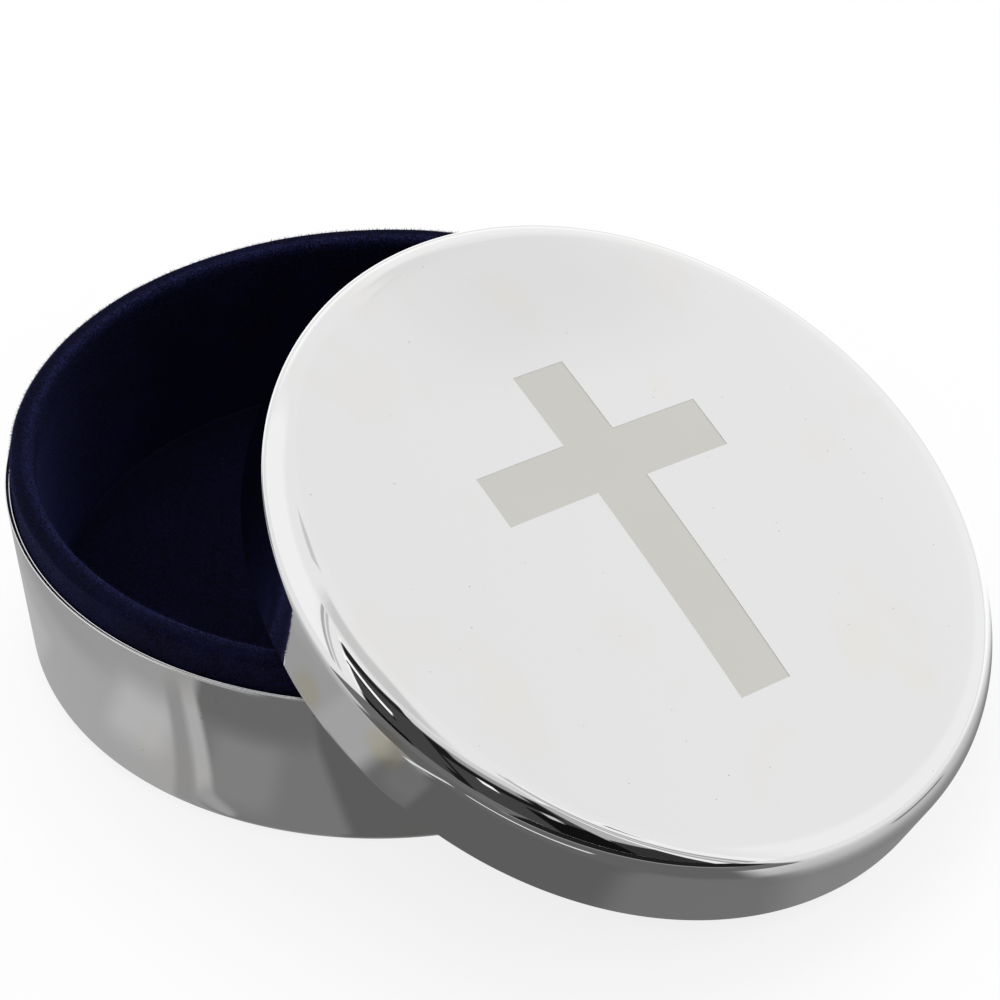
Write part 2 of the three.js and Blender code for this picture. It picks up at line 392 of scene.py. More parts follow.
@dataclass(frozen=True)
class Velvet(Finish):
    """Short-piled navy velvet: nearly black head-on, bluer where it is brushed, and bluer from the side by a
    painted sheen in its base colour.
    """

    name: str = "navy_velvet"
    deep: Colour = (1, 1, 11)
    # Colour of brushed pile, and of the painted light low on the wall.
    brushed_and_painted_light: Colour = (16, 16, 54)
    # Colour of the painted sheen seen from the side, and of the painted highlight along the ridge.
    edge: Colour = (34, 36, 78)
    dust: Colour = (96, 98, 120)
    speck_range: Range = (0.46, 0.62)
    speck_share: float = 0.55
    brushed_range: Range = (0.42, 0.72)
    brushed_share: float = 0.24
    # Share of the painted sheen seen from the side.
    painted_sheen_share: float = 0.8
    facing_blend: float = 0.42
    facing_range: Range = (0.25, 1.0)
    lit_range: Range = (0.4, 0.64)
    lint_range: Range = (0.83, 0.87)
    lint_share: float = 0.7
    # Painted light low on the wall: height above which there is none, height below which it is full, and its
    # share there.
    painted_low_light: Point | None = None
    # Painted highlight along a ridge: radius, its reach, height and its reach, in millimetres.
    ridge: tuple[float, float, float, float] | None = None
    sheen: float = 0.3
    sheen_tint: Colour = (74, 78, 150)
    pile_size: float = 0.22
    pile_depth: float = 0.12
    lint_size: float = 0.45
    patch_size: float = 7.0

    def coat(self, bench: Bench, where: Socket) -> Inputs:
        """Pile with brushed patches, painted light low on the wall, a painted sheen from the side, a painted
        highlight along a ridge, and lint.

        Args:
            bench: Bench of the material.
            where: Object coordinates.

        Returns:
            Inputs of the main shader.
        """
        pile = bench.noise(where, per(self.pile_size), **FINE_GRAIN)
        lit = bench.rise(pile, *self.lit_range)
        # Painted sheen: Layer Weight's Facing gives the share of the edge colour where the pile is seen from
        # the side, in specks of pile.
        facing = bench.add("ShaderNodeLayerWeight", {"Blend": self.facing_blend}).outputs["Facing"]
        turned = bench.math("MULTIPLY", bench.rise(facing, *self.facing_range), lit)
        turned = bench.math("MULTIPLY", turned, self.painted_sheen_share)
        # Painted highlight along the ridge, in the edge colour, where the pile specks catch it.
        if self.ridge:
            turned = bench.math("MAXIMUM", turned, bench.math("MULTIPLY", self.ridge_highlight(bench, where), lit))
        ground = bench.blend(self.ground(bench, where, pile), rgba(self.deep), rgba(self.brushed_and_painted_light))
        lint = bench.rise(bench.noise(where, per(self.lint_size), detail=1.0), *self.lint_range)
        dusty = bench.math("MULTIPLY", lint, self.lint_share)
        # Base colour moves to the edge colour as painted sheen and painted ridge highlight.
        colour = bench.blend(turned, ground, rgba(self.edge))
        return {
            "Base Color": bench.blend(dusty, colour, rgba(self.dust)),
            "Normal": bench.bump(pile, self.pile_depth, strength=0.8),
            "Roughness": 0.95,
            "Specular IOR Level": 0.1,
            "Sheen Weight": self.sheen,
            "Sheen Roughness": 0.35,
            "Sheen Tint": rgba(self.sheen_tint),
        }

    def ground(self, bench: Bench, where: Socket, pile: Socket) -> Socket:
        """Share of the brushed colour: in specks, in patches, and more low on the wall as painted light
        against the shade there.

        Args:
            bench: Bench of the material.
            where: Object coordinates.
            pile: Noise at the size of the pile.

        Returns:
            The share, from 0 to 1.
        """
        patch = bench.noise(where, per(self.patch_size), detail=3.0, roughness=0.55)
        patch = bench.rise(patch, *self.brushed_range)
        share = bench.math("MULTIPLY", patch, self.brushed_share)
        speck = bench.rise(pile, *self.speck_range)
        share = bench.math("MULTIPLY_ADD", speck, self.speck_share, share, clamp=True)
        # Painted light: more of the brushed colour low on the wall, against the shade near the floor.
        if self.painted_low_light:
            top, low, most = self.painted_low_light
            low_light = bench.rise(bench.split(where)[2], top * MM, low * MM)
            share = bench.math("MULTIPLY_ADD", low_light, most, share, clamp=True)
        return share

    def ridge_highlight(self, bench: Bench, where: Socket) -> Socket:
        """Share of a painted highlight along a ridge that runs round the Z axis.

        Args:
            bench: Bench of the material.
            where: Object coordinates.

        Returns:
            1 on the ridge and 0 away from it.
        """
        radius, radius_reach, height, height_reach = (value * MM for value in self.ridge)
        across, ahead, up = bench.split(where)
        out = bench.length(bench.gathered(across, ahead))
        off_radius = bench.math("ABSOLUTE", bench.math("SUBTRACT", out, radius))
        off_height = bench.math("ABSOLUTE", bench.math("SUBTRACT", up, height))
        near = bench.rise(off_radius, radius_reach, 0.0)
        return bench.math("MULTIPLY", near, bench.rise(off_height, height_reach, 0.0))


@dataclass(frozen=True)
class PileFibre(Finish):
    """Single fibres of the velvet's pile."""

    name: str = "pile_fibre"
    root: Colour = (4, 4, 19)
    tip: Colour = (42, 43, 90)
    size: float = 0.32
    tip_range: Range = (0.36, 0.72)

    def coat(self, bench: Bench, where: Socket) -> Inputs:
        """Fibres that differ in how light they are."""
        share = bench.rise(bench.noise(where, per(self.size), **FINE_GRAIN), *self.tip_range)
        return {
            "Base Color": bench.blend(share, rgba(self.root), rgba(self.tip)),
            "Roughness": 0.8,
            "Specular IOR Level": 0.15,
        }


@dataclass(frozen=True)
class PressedStock(Finish):
    """Pressed board or wadding: a pale ground with flecks and a fibrous surface."""

    ground: Colour
    fleck: Colour
    fleck_size: float
    relief: float
    lie: Point = (1.0, 1.0, 3.0)
    fleck_range: Range = (0.5, 0.75)

    def coat(self, bench: Bench, where: Socket) -> Inputs:
        """Flecks and fibres that lie flat.

        Args:
            bench: Bench of the material.
            where: Object coordinates.

        Returns:
            Inputs of the main shader.
        """
        flat = bench.mapped(where, [share / MM for share in self.lie])
        fibres = bench.noise(flat, 1 / self.fleck_size, detail=5.0, roughness=0.7)
        flecks = bench.rise(fibres, *self.fleck_range)
        return {
            "Base Color": bench.blend(flecks, rgba(self.ground), rgba(self.fleck)),
            "Normal": bench.bump(fibres, self.relief, strength=0.6),
            "Roughness": 0.92,
        }


CARD = PressedStock("grey_card", (150, 146, 136), (118, 112, 101), 0.5, 0.05)
WADDING = PressedStock("white_wadding", (226, 222, 212), (202, 197, 186), 0.9, 0.3)
# Floor cover velvet: little painted sheen, fewer brushed patches and a weaker shader sheen.
FLOOR_VELVET = Velvet("navy_velvet_floor", painted_sheen_share=0.1, brushed_share=0.1, sheen=0.18)
# Lip velvet: a painted highlight along the lip's inner top edge, and painted light low on the wall.
LIP_VELVET = Velvet("navy_velvet_lip", painted_low_light=(16.0, 6.0, 0.23), ridge=(40.9, 1.3, 25.9, 1.6))


@dataclass(frozen=True)
class Finishes:
    """All materials of the box, each built once."""

    metal: Material = field(default_factory=PolishedPlate().material)
    frosted: Material = field(default_factory=FrostedEngraving().material)
    # Lid lining velvet, with some painted sheen.
    velvet: Material = field(default_factory=Velvet(painted_sheen_share=0.35).material)
    floor_velvet: Material = field(default_factory=FLOOR_VELVET.material)
    lip_velvet: Material = field(default_factory=LIP_VELVET.material)
    pile: Material = field(default_factory=PileFibre().material)
    card: Material = field(default_factory=CARD.material)
    wadding: Material = field(default_factory=WADDING.material)


# Meshes and Geometry Nodes


def stand(name: str, data: bpy.types.ID) -> Piece:
    """Puts a new object into the scene.

    Args:
        name: Name of the object.
        data: Its mesh, lamp or camera.

    Returns:
        The object.
    """
    piece = bpy.data.objects.new(name, data)
    bpy.context.scene.collection.objects.link(piece)
    return piece


def make_plain(piece: Piece) -> None:
    """Turns a piece with live modifiers into a plain mesh.

    Args:
        piece: The piece, which keeps its shape.
    """
    shown = piece.evaluated_get(bpy.context.evaluated_depsgraph_get())
    mesh = bpy.data.meshes.new_from_object(shown)
    piece.modifiers.clear()
    piece.data = mesh


def outline_mesh(name: str, points: Iterable[Range]) -> Mesh:
    """Mesh that holds an outline's points in order, in the XZ plane.

    Args:
        name: Name of the mesh.
        points: Points in (radius, height), in millimetres.

    Returns:
        The mesh, in metres.
    """
    mesh = bpy.data.meshes.new(name)
    corners = [(max(radius, 0.0) * MM, 0.0, height * MM) for radius, height in points]
    mesh.from_pydata(corners, [(i, i + 1) for i in range(len(corners) - 1)], [])
    return mesh


def point_outwards(mesh: Mesh, sharp: float = math.radians(50)) -> None:
    """Merges doubles, turns all faces outwards and marks sharp edges.

    Args:
        mesh: Mesh to mend.
        sharp: Angle past which an edge stays sharp, in radians.
    """
    work = bmesh.new()
    work.from_mesh(mesh)
    bmesh.ops.remove_doubles(work, verts=work.verts, dist=WELD)
    bmesh.ops.recalc_face_normals(work, faces=work.faces)
    work.to_mesh(mesh)
    work.free()
    mesh.shade_smooth()
    mesh.set_sharp_from_angle(angle=sharp)


@dataclass
class Recipe:
    """A Geometry Nodes tree with named inputs, run on a mesh and turned into a plain mesh."""

    name: str
    tree: bpy.types.NodeTree = field(init=False)
    bench: Bench = field(init=False)
    given: bpy.types.Node = field(init=False)

    def __post_init__(self) -> None:
        """Starts the tree with its geometry in and out."""
        self.tree = bpy.data.node_groups.new(self.name, "GeometryNodeTree")
        for way in ("OUTPUT", "INPUT"):
            self.tree.interface.new_socket("Geometry", in_out=way, socket_type="NodeSocketGeometry")
        self.bench = Bench(self.tree)
        self.given = self.tree.nodes.new("NodeGroupInput")

    def ask(self, kinds: dict[str, str]) -> list[Socket]:
        """Adds named inputs.

        Args:
            kinds: Float, Int or Material by name.

        Returns:
            The sockets that carry them inside the tree, in order.
        """
        for name, kind in kinds.items():
            self.tree.interface.new_socket(name, in_out="INPUT", socket_type=f"NodeSocket{kind}")
        return [self.given.outputs[name] for name in kinds]

    def close(self, geometry: Socket, finish: Socket) -> None:
        """Ends the tree with Realize Instances and Set Material.

        Args:
            geometry: What the tree made.
            finish: Its material.
        """
        real = self.bench.out("GeometryNodeRealizeInstances", {"Geometry": geometry})
        dressed = self.bench.out("GeometryNodeSetMaterial", {"Geometry": real, "Material": finish})
        self.bench.add("NodeGroupOutput", {"Geometry": dressed})

    def run(self, source: Mesh, name: str, values: Inputs) -> Piece:
        """Runs the tree on a mesh.

        Args:
            source: Mesh that goes in.
            name: Name of the new piece.
            values: Values of the named inputs.

        Returns:
            A new object with the plain result and no modifier.
        """
        piece = stand(name, source)
        modifier = piece.modifiers.new(self.name, "NODES")
        modifier.node_group = self.tree
        for item in self.tree.interface.items_tree:
            if item.in_out == "INPUT" and item.name in values:
                modifier[item.identifier] = values[item.name]
        make_plain(piece)
        piece.data.name = name
        piece.data.materials.clear()
        piece.data.materials.append(values["Finish"])
        return piece


UPWARD_SHARE = 0.6
SHORT_FIBRE_SHARE = 0.55
FORM_INPUTS = {
    "Turn Steps": "Int",
    "Weld Distance": "Float",
    "Unevenness": "Float",
    "Uneven Size": "Float",
    "Uneven Above": "Float",
    "Seed": "Float",
    "Finish": "Material",
}
PLAIN_FORM = {
    "Turn Steps": 256,
    "Weld Distance": WELD,
    "Unevenness": 0.0,
    "Uneven Size": 0.01,
    "Uneven Above": -1.0,
    "Seed": 0.0,
}
PILE_INPUTS = {
    "Fibres per Square Metre": "Float",
    "Fibre Length": "Float",
    "Fibre Width": "Float",
    "Lean": "Float",
    "Above": "Float",
    "Seed": "Int",
    "Finish": "Material",
}


def turned_form() -> Recipe:
    """Turns an outline round Z into a closed form, and can make its surface uneven like cloth.

    Returns:
        The recipe. Its source mesh holds the outline's points in order, in the XZ plane.
    """
    recipe = Recipe("turned_form")
    bench = recipe.bench
    turn_steps, weld, unevenness, uneven_size, uneven_above, seed, finish = recipe.ask(FORM_INPUTS)
    outline = recipe.given.outputs["Geometry"]

    count = bench.add("GeometryNodeAttributeDomainSize", {"Geometry": outline}).outputs["Point Count"]
    across = bench.math("ADD", turn_steps, 1.0)
    grid = bench.out("GeometryNodeMeshGrid", {"Vertices X": count, "Vertices Y": across})
    index = bench.out("GeometryNodeInputIndex")
    row = bench.math("FLOOR", bench.math("DIVIDE", bench.math("ADD", index, 0.5), across))
    step = bench.math("SUBTRACT", index, bench.math("MULTIPLY", row, across))
    sampled = {"Geometry": outline, "Value": bench.out("GeometryNodeInputPosition"), "Index": row}
    radius, _, height = bench.split(bench.out("GeometryNodeSampleIndex", sampled, data_type="FLOAT_VECTOR"))
    angle = bench.math("MULTIPLY", bench.math("DIVIDE", step, turn_steps), math.tau)
    ways = [bench.math("MULTIPLY", radius, bench.math(way, angle)) for way in ("COSINE", "SINE")]
    around = bench.gathered(*ways, height)
    turned = bench.out("GeometryNodeSetPosition", {"Geometry": grid, "Position": around})
    welded = bench.out("GeometryNodeMergeByDistance", {"Geometry": turned, "Distance": weld})

    where = bench.out("GeometryNodeInputPosition")
    inputs = {"Vector": where, "W": seed, "Scale": bench.math("DIVIDE", 1.0, uneven_size), "Detail": 2.0}
    wave = bench.out("ShaderNodeTexNoise", inputs, noise_dimensions="4D")
    reach = bench.rise(bench.split(where)[2], uneven_above, bench.math("ADD", uneven_above, uneven_size))
    swing = bench.math("MULTIPLY", bench.math("SUBTRACT", wave, 0.5), 2.0)
    amount = bench.math("MULTIPLY", bench.math("MULTIPLY", swing, reach), unevenness)
    outward = bench.vector("NORMALIZE", bench.vector("MULTIPLY", where, (1.0, 1.0, 0.0)))
    upward = bench.gathered(0.0, 0.0, bench.math("MULTIPLY", amount, UPWARD_SHARE))
    push = bench.vector("ADD", bench.scaled(outward, amount), upward)
    uneven = bench.out("GeometryNodeSetPosition", {"Geometry": welded, "Offset": push})
    recipe.close(bench.out("GeometryNodeSetShadeSmooth", {"Geometry": uneven}), finish)
    return recipe


def pile_coat() -> Recipe:
    """Stands short fibres on a cloth surface.

    Returns:
        The recipe. Its source mesh is the surface that the fibres grow on.
    """
    recipe = Recipe("pile_coat")
    bench = recipe.bench
    density, length, width, lean, above, seed, finish = recipe.ask(PILE_INPUTS)
    cloth = recipe.given.outputs["Geometry"]

    height = bench.split(bench.out("GeometryNodeInputPosition"))[2]
    pair = {0: height, 1: above}
    chosen = bench.out("FunctionNodeCompare", pair, data_type="FLOAT", operation="GREATER_THAN")
    spread = bench.add(
        "GeometryNodeDistributePointsOnFaces",
        {"Mesh": cloth, "Selection": chosen, "Density": density, "Seed": seed},
    )
    fibre = bench.out(
        "GeometryNodeMeshCone",
        {"Vertices": 3, "Side Segments": 1, "Radius Top": 0.0, "Radius Bottom": width, "Depth": length},
        fill_type="NONE",
    )
    reach = {"Min": (-1.0, -1.0, -1.0), "Max": (1.0, 1.0, 1.0), "Seed": seed}
    tilt = bench.out("FunctionNodeRandomValue", reach, data_type="FLOAT_VECTOR")
    way = bench.vector("ADD", spread.outputs["Normal"], bench.scaled(tilt, lean))
    turn = bench.out("FunctionNodeAlignRotationToVector", {"Vector": way}, axis="Z")
    sizes = {2: SHORT_FIBRE_SHARE, 3: 1.0, "Seed": bench.math("ADD", seed, 1.0)}
    size = bench.add("FunctionNodeRandomValue", sizes, data_type="FLOAT").outputs[1]
    placed = bench.out(
        "GeometryNodeInstanceOnPoints",
        {"Points": spread.outputs["Points"], "Instance": fibre, "Rotation": turn, "Scale": size},
    )
    recipe.close(placed, finish)
    return recipe


@dataclass
class Workshop:
    """Finishes and recipes that the pieces are made with."""

    finishes: Finishes = field(default_factory=Finishes)
    form: Recipe = field(default_factory=turned_form)
    coat: Recipe = field(default_factory=pile_coat)

    def turned(self, name: str, outline: Outline, finish: Material, values: Inputs | None = None) -> Piece:
        """Turns an outline round Z into a piece, whose faces may still point inwards.

        Args:
            name: Name of the piece.
            outline: Outline in (radius, height), in millimetres.
            finish: Its material.
            values: Named inputs that differ from plain metal's.

        Returns:
            The object.
        """
        inputs = {**PLAIN_FORM, "Finish": finish, **(values or {})}
        return self.form.run(outline_mesh(name, outline), name, inputs)


def settle(piece: Piece, body: Body, slot: Slot, *nodes: str) -> None:
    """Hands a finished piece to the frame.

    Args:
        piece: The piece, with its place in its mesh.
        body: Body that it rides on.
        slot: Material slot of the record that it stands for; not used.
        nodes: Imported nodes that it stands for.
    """
    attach(piece, body.value)
    if nodes:
        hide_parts(*nodes)
    log.info("%s: %d faces on %s", piece.name, len(piece.data.polygons), body.value)


def dress_nodes(finish: Material, *names: str) -> None:
    """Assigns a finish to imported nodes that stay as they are.

    Args:
        finish: Their material.
        names: Names of the nodes.
    """
    for name in names:
        node = frame["nodes"][name]
        node.data.materials.clear()
        node.data.materials.append(finish)
        log.info("%s: packed solid, dressed in %s", name, finish.name)


# Base


@dataclass
class BaseShell:
    """Drawn metal cup with a rounded foot and a wall that leans out to a square-set rim."""

    radius: float = 44.0
    wall: float = 0.6
    height: float = 22.2
    draft: float = 1.4
    foot: float = 2.0
    rim: float = 0.09
    rim_step: float = 0.07
    bead_turn: float = math.radians(150)
    steps: int = 14

    def outline(self) -> Outline:
        """Section of the cup, from the axis outwards, up the outside, over the twin-beaded rim and back.

        Returns:
            The outline, which starts and ends on the axis.
        """
        foot_centre = (self.radius - self.draft - self.foot, self.foot)
        lean = math.atan2(self.draft, self.height - self.foot)
        rim_height = self.height - self.rim
        outer = (self.radius - self.rim, rim_height)
        inner = (self.radius - self.wall + self.rim, rim_height - self.rim_step)
        inside = self.foot - self.wall
        return joined(
            [(0.0, 0.0)],
            arc(foot_centre, self.foot, -QUARTER, -lean, self.steps),
            arc(outer, self.rim, -lean, self.bead_turn, self.steps)
            + arc(inner, self.rim, math.pi - self.bead_turn, math.pi - lean, self.steps),
            arc(foot_centre, inside, -lean, -QUARTER, self.steps),
            [(0.0, self.foot - inside)],
        )

    def build(self, shop: Workshop) -> None:
        """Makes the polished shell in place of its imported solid.

        Args:
            shop: Finishes and recipes.
        """
        piece = shop.turned("base_shell_polished", self.outline(), shop.finishes.metal)
        point_outwards(piece.data)
        settle(piece, Body.BASE, Slot.METAL, "base_shell")


@dataclass
class WallLining:
    """Velvet sleeve that is folded over a card band and stands above the rim as a soft lip."""

    shell: BaseShell
    lip_rise: float = 3.9
    outer_depth: float = 0.8
    cloth: float = 0.6
    card: float = 1.2
    gap: float = 0.15
    tuck: float = 4.0
    bottom: float = 0.95
    unevenness: float = 0.09
    uneven_size: float = 9.0
    seed: float = 4.0
    fibre_density: float = 1.3e7
    fibre_length: float = 0.4
    fibre_width: float = 0.03
    fibre_lean: float = 0.7
    fibre_start: float = 0.3
    fibre_seed: int = 11
    steps: int = 10

    @property
    def top(self) -> float:
        """Height of the lip."""
        return self.shell.height + self.lip_rise

    @property
    def inner_depth(self) -> float:
        """Depth of the sleeve's inner face from the outside of the base."""
        return self.outer_depth + 2 * (self.cloth + self.gap) + self.card

    def face(self, depth: float, low: float, high: float) -> Outline:
        """Points up a face of the sleeve, bent where the base's wall is bent.

        Args:
            depth: Depth from the outside of the base.
            low: Height of the first point.
            high: Height of the last point.

        Returns:
            The points, from the lowest up.
        """
        shell = self.shell
        bends = [height for height in (shell.foot, shell.height) if low < height < high]
        points: Outline = []
        for height in [low, *bends, high]:
            share = min(max((height - shell.foot) / (shell.height - shell.foot), 0.0), 1.0)
            points.append((shell.radius - shell.draft * (1 - share) - depth, height))
        return points

    def outline(self) -> Outline:
        """Section of the folded sleeve.

        Returns:
            The closed outline.
        """
        round_ = self.cloth + self.gap
        corner = self.top - round_
        channel = self.top - self.cloth
        fold = self.shell.height - self.tuck
        card_depth = self.outer_depth + self.cloth + self.gap + self.card + self.gap
        outer = (self.shell.radius - self.outer_depth - round_, corner)
        inner = (self.shell.radius - self.inner_depth + round_, corner)
        outline = joined(
            self.face(card_depth, self.bottom, channel),
            self.face(self.outer_depth + self.cloth, fold, channel)[::-1],
            self.face(self.outer_depth, fold, corner)[:-1],
            arc(outer, round_, 0.0, QUARTER, self.steps),
            arc(inner, round_, QUARTER, math.pi, self.steps),
            self.face(self.inner_depth, self.bottom, corner)[::-1][1:],
        )
        return outline + [outline[0]]

    def build(self, shop: Workshop) -> None:
        """Makes the sleeve and the pile on its lip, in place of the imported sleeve.

        Args:
            shop: Finishes and recipes.
        """
        cloth = {
            "Unevenness": self.unevenness * MM,
            "Uneven Size": self.uneven_size * MM,
            "Uneven Above": self.bottom * MM,
            "Seed": self.seed,
        }
        sleeve = shop.turned("wall_velvet_sleeve", self.outline(), shop.finishes.lip_velvet, cloth)
        point_outwards(sleeve.data)
        settle(sleeve, Body.BASE, Slot.VELVET, "wall_velvet")
        fibres = {
            "Fibres per Square Metre": self.fibre_density,
            "Fibre Length": self.fibre_length * MM,
            "Fibre Width": self.fibre_width * MM,
            "Lean": self.fibre_lean,
            "Above": (self.shell.height + self.fibre_start) * MM,
            "Seed": self.fibre_seed,
            "Finish": shop.finishes.pile,
        }
        pile = shop.coat.run(sleeve.data.copy(), "lip_pile", fibres)
        settle(pile, Body.BASE, Slot.VELVET)


PRESS = {
    "vertex_group_mass": "held",
    "quality": 6,
    "mass": 0.02,
    "tension_stiffness": 25,
    "compression_stiffness": 25,
    "bending_stiffness": 0.4,
    "use_pressure": True,
    "uniform_pressure_force": 12.0,
}


@dataclass
class FloorLining:
    """Velvet stretched over a wadding pad on a card disc; the pad's crown comes from a cloth simulation."""

    radius: float = 38.9
    bottom: float = 0.75
    edge_top: float = 5.15
    crown: float = 0.55
    edge_round: float = 2.2
    bulge: float = 0.26
    cloth: float = 0.6
    gap: float = 0.15
    pad_bottom: float = 2.4
    pad_fill: float = 0.5
    spokes: int = 128
    rings: int = 30
    edge_steps: int = 8
    scale_up: float = 10.0
    frames: int = 20

    @property
    def flat(self) -> float:
        """Radius at which the level part of the cover ends."""
        return self.radius + self.bulge - self.edge_round

    def section(self) -> Outline:
        """Line of the flat cover, from the axis over its edge, which presses on the wall lining, to its foot.

        Returns:
            The points, one for each ring and the centre.
        """
        run = [(self.flat * ring / self.rings, self.edge_top) for ring in range(self.rings)]
        centre = (self.flat, self.edge_top - self.edge_round)
        bend = arc(centre, self.edge_round, QUARTER, 0.0, self.edge_steps)
        side = (bend[-1][1] + self.bottom) / 2
        return [*run, *bend, (self.radius + self.bulge / 3, side), (self.radius, self.bottom)]

    def disc(self, name: str, section: Outline) -> Mesh:
        """Open disc of rings and spokes in millimetres, with one point at its centre.

        Args:
            name: Name of the mesh.
            section: Points from the axis outwards.

        Returns:
            The mesh, its points ordered ring by ring after the centre.
        """
        angles = [math.tau * spoke / self.spokes for spoke in range(self.spokes)]
        ways = [(math.cos(angle), math.sin(angle)) for angle in angles]
        corners = [(0.0, 0.0, section[0][1])]
        corners += [(radius * x, radius * y, height) for radius, height in section[1:] for x, y in ways]
        faces: list[tuple[int, ...]] = []
        for spoke in range(self.spokes):
            after = (spoke + 1) % self.spokes
            faces.append((0, 1 + spoke, 1 + after))
            for ring in range(len(section) - 2):
                low = 1 + ring * self.spokes
                high = low + self.spokes
                faces.append((low + spoke, high + spoke, high + after, low + after))
        mesh = bpy.data.meshes.new(name)
        mesh.from_pydata(corners, [], faces)
        return mesh

    def swelled(self, mesh: Mesh) -> list[float]:
        """Lets the pad press the cover up from below, with its edge held.

        Args:
            mesh: The flat cover.

        Returns:
            Rise of each point, as a share of the highest one's.
        """
        scene = bpy.context.scene
        model = stand("cover_on_test", mesh.copy())
        model.data.transform(Matrix.Scale(self.scale_up * MM, 4))
        first_held = 1 + (self.rings - 1) * self.spokes
        group = model.vertex_groups.new(name="held")
        group.add(list(range(first_held, len(mesh.vertices))), 1.0, "REPLACE")
        cloth = model.modifiers.new("press", "CLOTH")
        for name, value in PRESS.items():
            setattr(cloth.settings, name, value)
        cloth.settings.effector_weights.gravity = 0.0
        cloth.point_cache.frame_start = 1
        cloth.point_cache.frame_end = self.frames
        for step in range(1, self.frames + 1):
            scene.frame_set(step)
        shown = model.evaluated_get(bpy.context.evaluated_depsgraph_get())
        pairs = zip(model.data.vertices, shown.data.vertices)
        rises = [max(0.0, after.co.z - before.co.z) for before, after in pairs]
        scene.frame_set(1)
        bpy.data.objects.remove(model)
        log.info("floor cover rose %.2f mm at its middle", max(rises) / (self.scale_up * MM))
        most = max(rises) or 1.0
        return [rise / most for rise in rises]

    def build(self, finishes: Finishes) -> None:
        """Makes the cover and the pad under it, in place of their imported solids.

        Args:
            finishes: All materials.
        """
        mesh = self.disc("floor_velvet_cover", self.section())
        for vertex, rise in zip(mesh.vertices, self.swelled(mesh)):
            vertex.co.z += self.crown * rise
        pad_mesh = self.pad_mesh(mesh)
        mesh.transform(Matrix.Scale(MM, 4))
        mesh.materials.append(finishes.floor_velvet)
        cover = stand("floor_velvet_cover", mesh)
        thick = cover.modifiers.new("cloth", "SOLIDIFY")
        thick.thickness = self.cloth * MM
        thick.offset = -1.0
        make_plain(cover)
        point_outwards(cover.data)
        settle(cover, Body.BASE, Slot.VELVET, "floor_velvet")
        point_outwards(pad_mesh)
        pad_mesh.materials.append(finishes.wadding)
        pad = stand("floor_wadding_pad", pad_mesh)
        settle(pad, Body.BASE, Slot.WADDING, "floor_pad")

    def pad_mesh(self, cover: Mesh) -> Mesh:
        """Closed pad that fills the cover from below, flat where it lies on the card.

        Args:
            cover: The swelled cover in millimetres.

        Returns:
            The pad's mesh, in metres.
        """
        inset = self.cloth + self.gap
        shrink = (self.radius - inset) / self.radius
        corners: list[Point] = []
        for vertex in cover.vertices:
            height = max(vertex.co.z - inset, self.pad_bottom)
            corners.append((vertex.co.x * shrink, vertex.co.y * shrink, height))
        foot = len(corners)
        corners.append((0.0, 0.0, self.pad_bottom))
        faces = [tuple(p.vertices) for p in cover.polygons]
        last = foot - self.spokes
        for spoke in range(self.spokes):
            faces.append((foot, last + (spoke + 1) % self.spokes, last + spoke))
        pad = bpy.data.meshes.new("floor_wadding_pad")
        pad.from_pydata([tuple(c * MM for c in corner) for corner in corners], [], faces)
        return pad


# Lid


@dataclass
class Cross:
    """Plain cross, measured along and across its upright, with its head towards the raised side."""

    height: float = 45.0
    span: float = 32.4
    upright: float = 7.3
    arm: float = 6.8
    drop: float = 10.1
    along: float = 1.2
    aside: float = -1.85
    turn: float = math.radians(-17.5)
    depth: float = 0.04
    spacing: float = 0.9

    def corners(self) -> list[Vector]:
        """Corners of the cross.

        Returns:
            The corners in the lid's own plane, in order.
        """
        head, foot = self.along - self.height / 2, self.along + self.height / 2
        top, low = head + self.drop, head + self.drop + self.arm
        left, right = self.aside - self.upright / 2, self.aside + self.upright / 2
        far_left, far_right = self.aside - self.span / 2, self.aside + self.span / 2
        flat = [(head, left), (top, left), (top, far_left), (low, far_left), (low, left), (foot, left)]
        flat += [(foot, right), (low, right), (low, far_right), (top, far_right), (top, right), (head, right)]
        return [Vector(corner) @ Matrix.Rotation(-self.turn, 2) for corner in flat]

    def outline(self) -> list[Vector]:
        """Points all along the outline.

        Returns:
            The points in order, no further apart than the spacing.
        """
        points: list[Vector] = []
        corners = self.corners()
        for start, end in zip(corners, corners[1:] + corners[:1]):
            spans = max(1, round((end - start).length / self.spacing))
            points += [start.lerp(end, step / spans) for step in range(spans)]
        return points

    def holds(self, point: Vector) -> bool:
        """Whether a point lies inside the cross.

        Args:
            point: Point in the lid's own plane.

        Returns:
            True inside the upright or the arms.
        """
        here = point @ Matrix.Rotation(self.turn, 2)
        along, across = here.x - self.along, here.y - self.aside
        top = self.drop - self.height / 2
        in_upright = abs(along) < self.height / 2 and abs(across) < self.upright / 2
        in_arms = top < along < top + self.arm and abs(across) < self.span / 2
        return in_upright or in_arms


